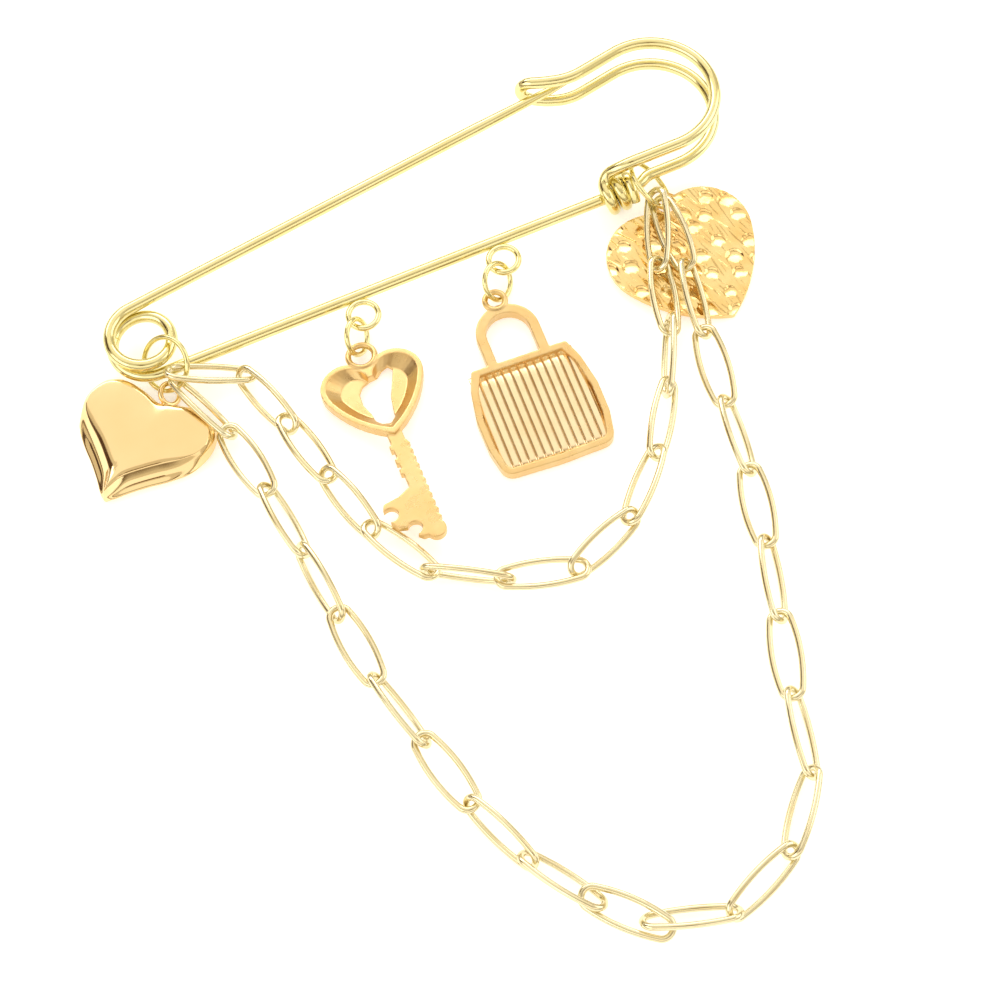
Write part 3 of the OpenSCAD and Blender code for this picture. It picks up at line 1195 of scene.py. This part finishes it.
@dataclass(frozen=True)
class Flag:
    """A dark card that faces the brooch and gives the gold its dark lines.

    Attributes:
        name: Name of the card.
        at: Its place, in metres.
        size: Its width and height, in metres.
        shade: Its colour.
    """

    name: str
    at: Point
    size: tuple[float, float]
    shade: Colour

    def hang(self) -> None:
        """Hangs the card."""
        w, h = self.size[0] / 2, self.size[1] / 2
        card = linked(self.name, quad(self.name, w, h))
        card.data.transform((-Vector(self.at)).to_track_quat("-Z", "Y").to_matrix().to_4x4())
        card.data.transform(Matrix.Translation(self.at))
        paint(card, self.name, self.shade)


def quad(name: str, half_width: float, half_height: float) -> bpy.types.Mesh:
    """A flat four-sided mesh about the origin, facing up.

    Args:
        name: Name of the mesh.
        half_width: Half its width, in metres.
        half_height: Half its height, in metres.

    Returns:
        The mesh.
    """
    w, h = half_width, half_height
    mesh = bpy.data.meshes.new(name)
    mesh.from_pydata([(-w, -h, 0), (w, -h, 0), (w, h, 0), (-w, h, 0)], [], [(0, 1, 2, 3)])
    return mesh


def paint(obj: bpy.types.Object, name: str, colour: Colour) -> bpy.types.Node:
    """Gives an object matt paint.

    Args:
        obj: The object.
        name: Name of the paint.
        colour: Its colour.

    Returns:
        The paint's shader node.
    """
    mat = bpy.data.materials.new(name)
    mat.use_nodes = True
    shader = mat.node_tree.nodes["Principled BSDF"]
    shader.inputs["Base Color"].default_value = (*colour, 1)
    shader.inputs["Roughness"].default_value = MATT
    obj.data.materials.append(mat)
    return shader


@dataclass
class Studio:
    """A white floor, soft boxes, dark cards, the room round them and the camera.

    Attributes:
        target: The point that the camera looks at.
        azimuth_deg: Heading from the target to the camera.
        elevation_deg: Angle of the camera over the floor.
        roll_deg: Roll of the camera.
        distance: From the target to the camera.
        lens: Focal length.
        sensor: Width of the camera's sensor.
        clip_m: Nearest and farthest distance that the camera sees, in metres.
        floor_half_m: Half the floor's side, in metres.
        floor_white: Colour of the floor.
        floor_glow: Light that the floor gives off, which keeps it white.
        walls_z: Upward share of a direction where the low walls begin and end to turn pale.
        low_walls: Colour of the room near the floor.
        high_walls: Colour of the room above.
        room_strength: Strength of the room's light.
        boxes: The soft boxes.
        flags: The dark cards.
    """

    target: Point = (-2.06, 3.34, 0.0)
    azimuth_deg: float = -108.74
    elevation_deg: float = 64.0
    roll_deg: float = -5.41
    distance: float = 250.0
    lens: float = 82.8
    sensor: float = 36.0
    clip_m: Span = (0.01, 10.0)
    floor_half_m: float = 1.5
    floor_white: Colour = (0.92, 0.92, 0.92)
    floor_glow: float = 0.4
    walls_z: Span = (0.06, 0.2)
    low_walls: Colour = (0.2, 0.13, 0.05)
    high_walls: Colour = (1.0, 0.9, 0.72)
    room_strength: float = 0.78
    boxes: tuple[SoftBox, ...] = (
        SoftBox("box_behind", at=(0.1, 0.29, 0.84), size=(0.9, 0.72), power=0.88),
        SoftBox("box_far", at=(0.1, 0.75, 0.58), size=(1.2, 0.3), power=3.2),
        SoftBox("box_left", at=(-0.8, -0.1, 0.55), size=(0.8, 0.5), power=1.7),
        SoftBox("box_right", at=(0.8, -0.1, 0.5), size=(0.8, 0.6), power=1.9),
        SoftBox("box_front", at=(-0.22, -0.72, 0.62), size=(1.6, 0.62), power=1.7),
    )
    flags: tuple[Flag, ...] = (
        Flag("flag_camera", at=(-0.07, -0.2, 0.44), size=(0.12, 0.12), shade=(0.16, 0.1, 0.03)),
        Flag("flag_front", at=(0.05, -0.46, 0.72), size=(0.5, 0.1), shade=(0.14, 0.065, 0.03)),
        Flag("flag_left", at=(-0.54, 0.48, 0.46), size=(0.42, 0.4), shade=(0.06, 0.025, 0.01)),
    )

    def camera(self) -> None:
        """Places the camera at the photograph's angle."""
        data = bpy.data.cameras.new("camera")
        data.lens = self.lens
        data.sensor_width = self.sensor
        data.clip_start, data.clip_end = self.clip_m
        cam = linked("camera", data)
        a, e = math.radians(self.azimuth_deg), math.radians(self.elevation_deg)
        back = Vector((math.cos(e) * math.cos(a), math.cos(e) * math.sin(a), math.sin(e)))
        right = Vector((0, 0, 1)).cross(back).normalized()
        up = back.cross(right)
        turn = Matrix((right, up, back)).transposed().to_4x4()
        roll = Matrix.Rotation(math.radians(self.roll_deg), 4, "Z")
        place = Matrix.Translation((Vector(self.target) + self.distance * back) * MM)
        cam.matrix_world = place @ turn @ roll
        bpy.context.scene.camera = cam

    def floor(self) -> None:
        """Lays the white floor."""
        obj = linked("floor", quad("floor", self.floor_half_m, self.floor_half_m))
        shader = paint(obj, "white_floor", self.floor_white)
        shader.inputs["Specular IOR Level"].default_value = 0.0
        shader.inputs["Emission Color"].default_value = (1, 1, 1, 1)
        shader.inputs["Emission Strength"].default_value = self.floor_glow

    def room(self) -> None:
        """Makes the room: pale above, and darker low round the floor."""
        world = bpy.data.worlds.new("room")
        world.use_nodes = True
        tree = world.node_tree
        back = tree.nodes["Background"]
        place = tree.nodes.new("ShaderNodeTexCoord")
        part = tree.nodes.new("ShaderNodeSeparateXYZ")
        rise = tree.nodes.new("ShaderNodeMapRange")
        rise.inputs["From Min"].default_value = self.walls_z[0]
        rise.inputs["From Max"].default_value = self.walls_z[1]
        walls = tree.nodes.new("ShaderNodeMix")
        walls.data_type = "RGBA"
        walls.inputs["A"].default_value = (*self.low_walls, 1)
        walls.inputs["B"].default_value = (*self.high_walls, 1)
        tree.links.new(place.outputs["Generated"], part.inputs["Vector"])
        tree.links.new(part.outputs["Z"], rise.inputs["Value"])
        tree.links.new(rise.outputs["Result"], walls.inputs["Factor"])
        tree.links.new(walls.outputs["Result"], back.inputs["Color"])
        back.inputs["Strength"].default_value = self.room_strength
        bpy.context.scene.world = world

    def build(self) -> None:
        """Sets the whole studio up."""
        self.camera()
        self.floor()
        for piece in self.boxes + self.flags:
            piece.hang()
        self.room()
        scene = bpy.context.scene
        scene.view_settings.view_transform = "Standard"
        scene.view_settings.look = "None"
        scene.view_settings.exposure = 0.0


def main() -> None:
    """Builds every piece in order and reports it."""
    logging.basicConfig(level=logging.INFO, format="%(name)s: %(message)s")
    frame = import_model()
    nodes = frame["nodes"]
    WireWork(nodes).dress()
    PuffyHeart().build()
    KeyCharm(nodes["key"]).build()
    PadlockCharm(nodes["padlock"]).build()
    HammeredHeart(nodes["heart_hammered"]).build()
    Studio().build()


if __name__ == "__main__":
    main()
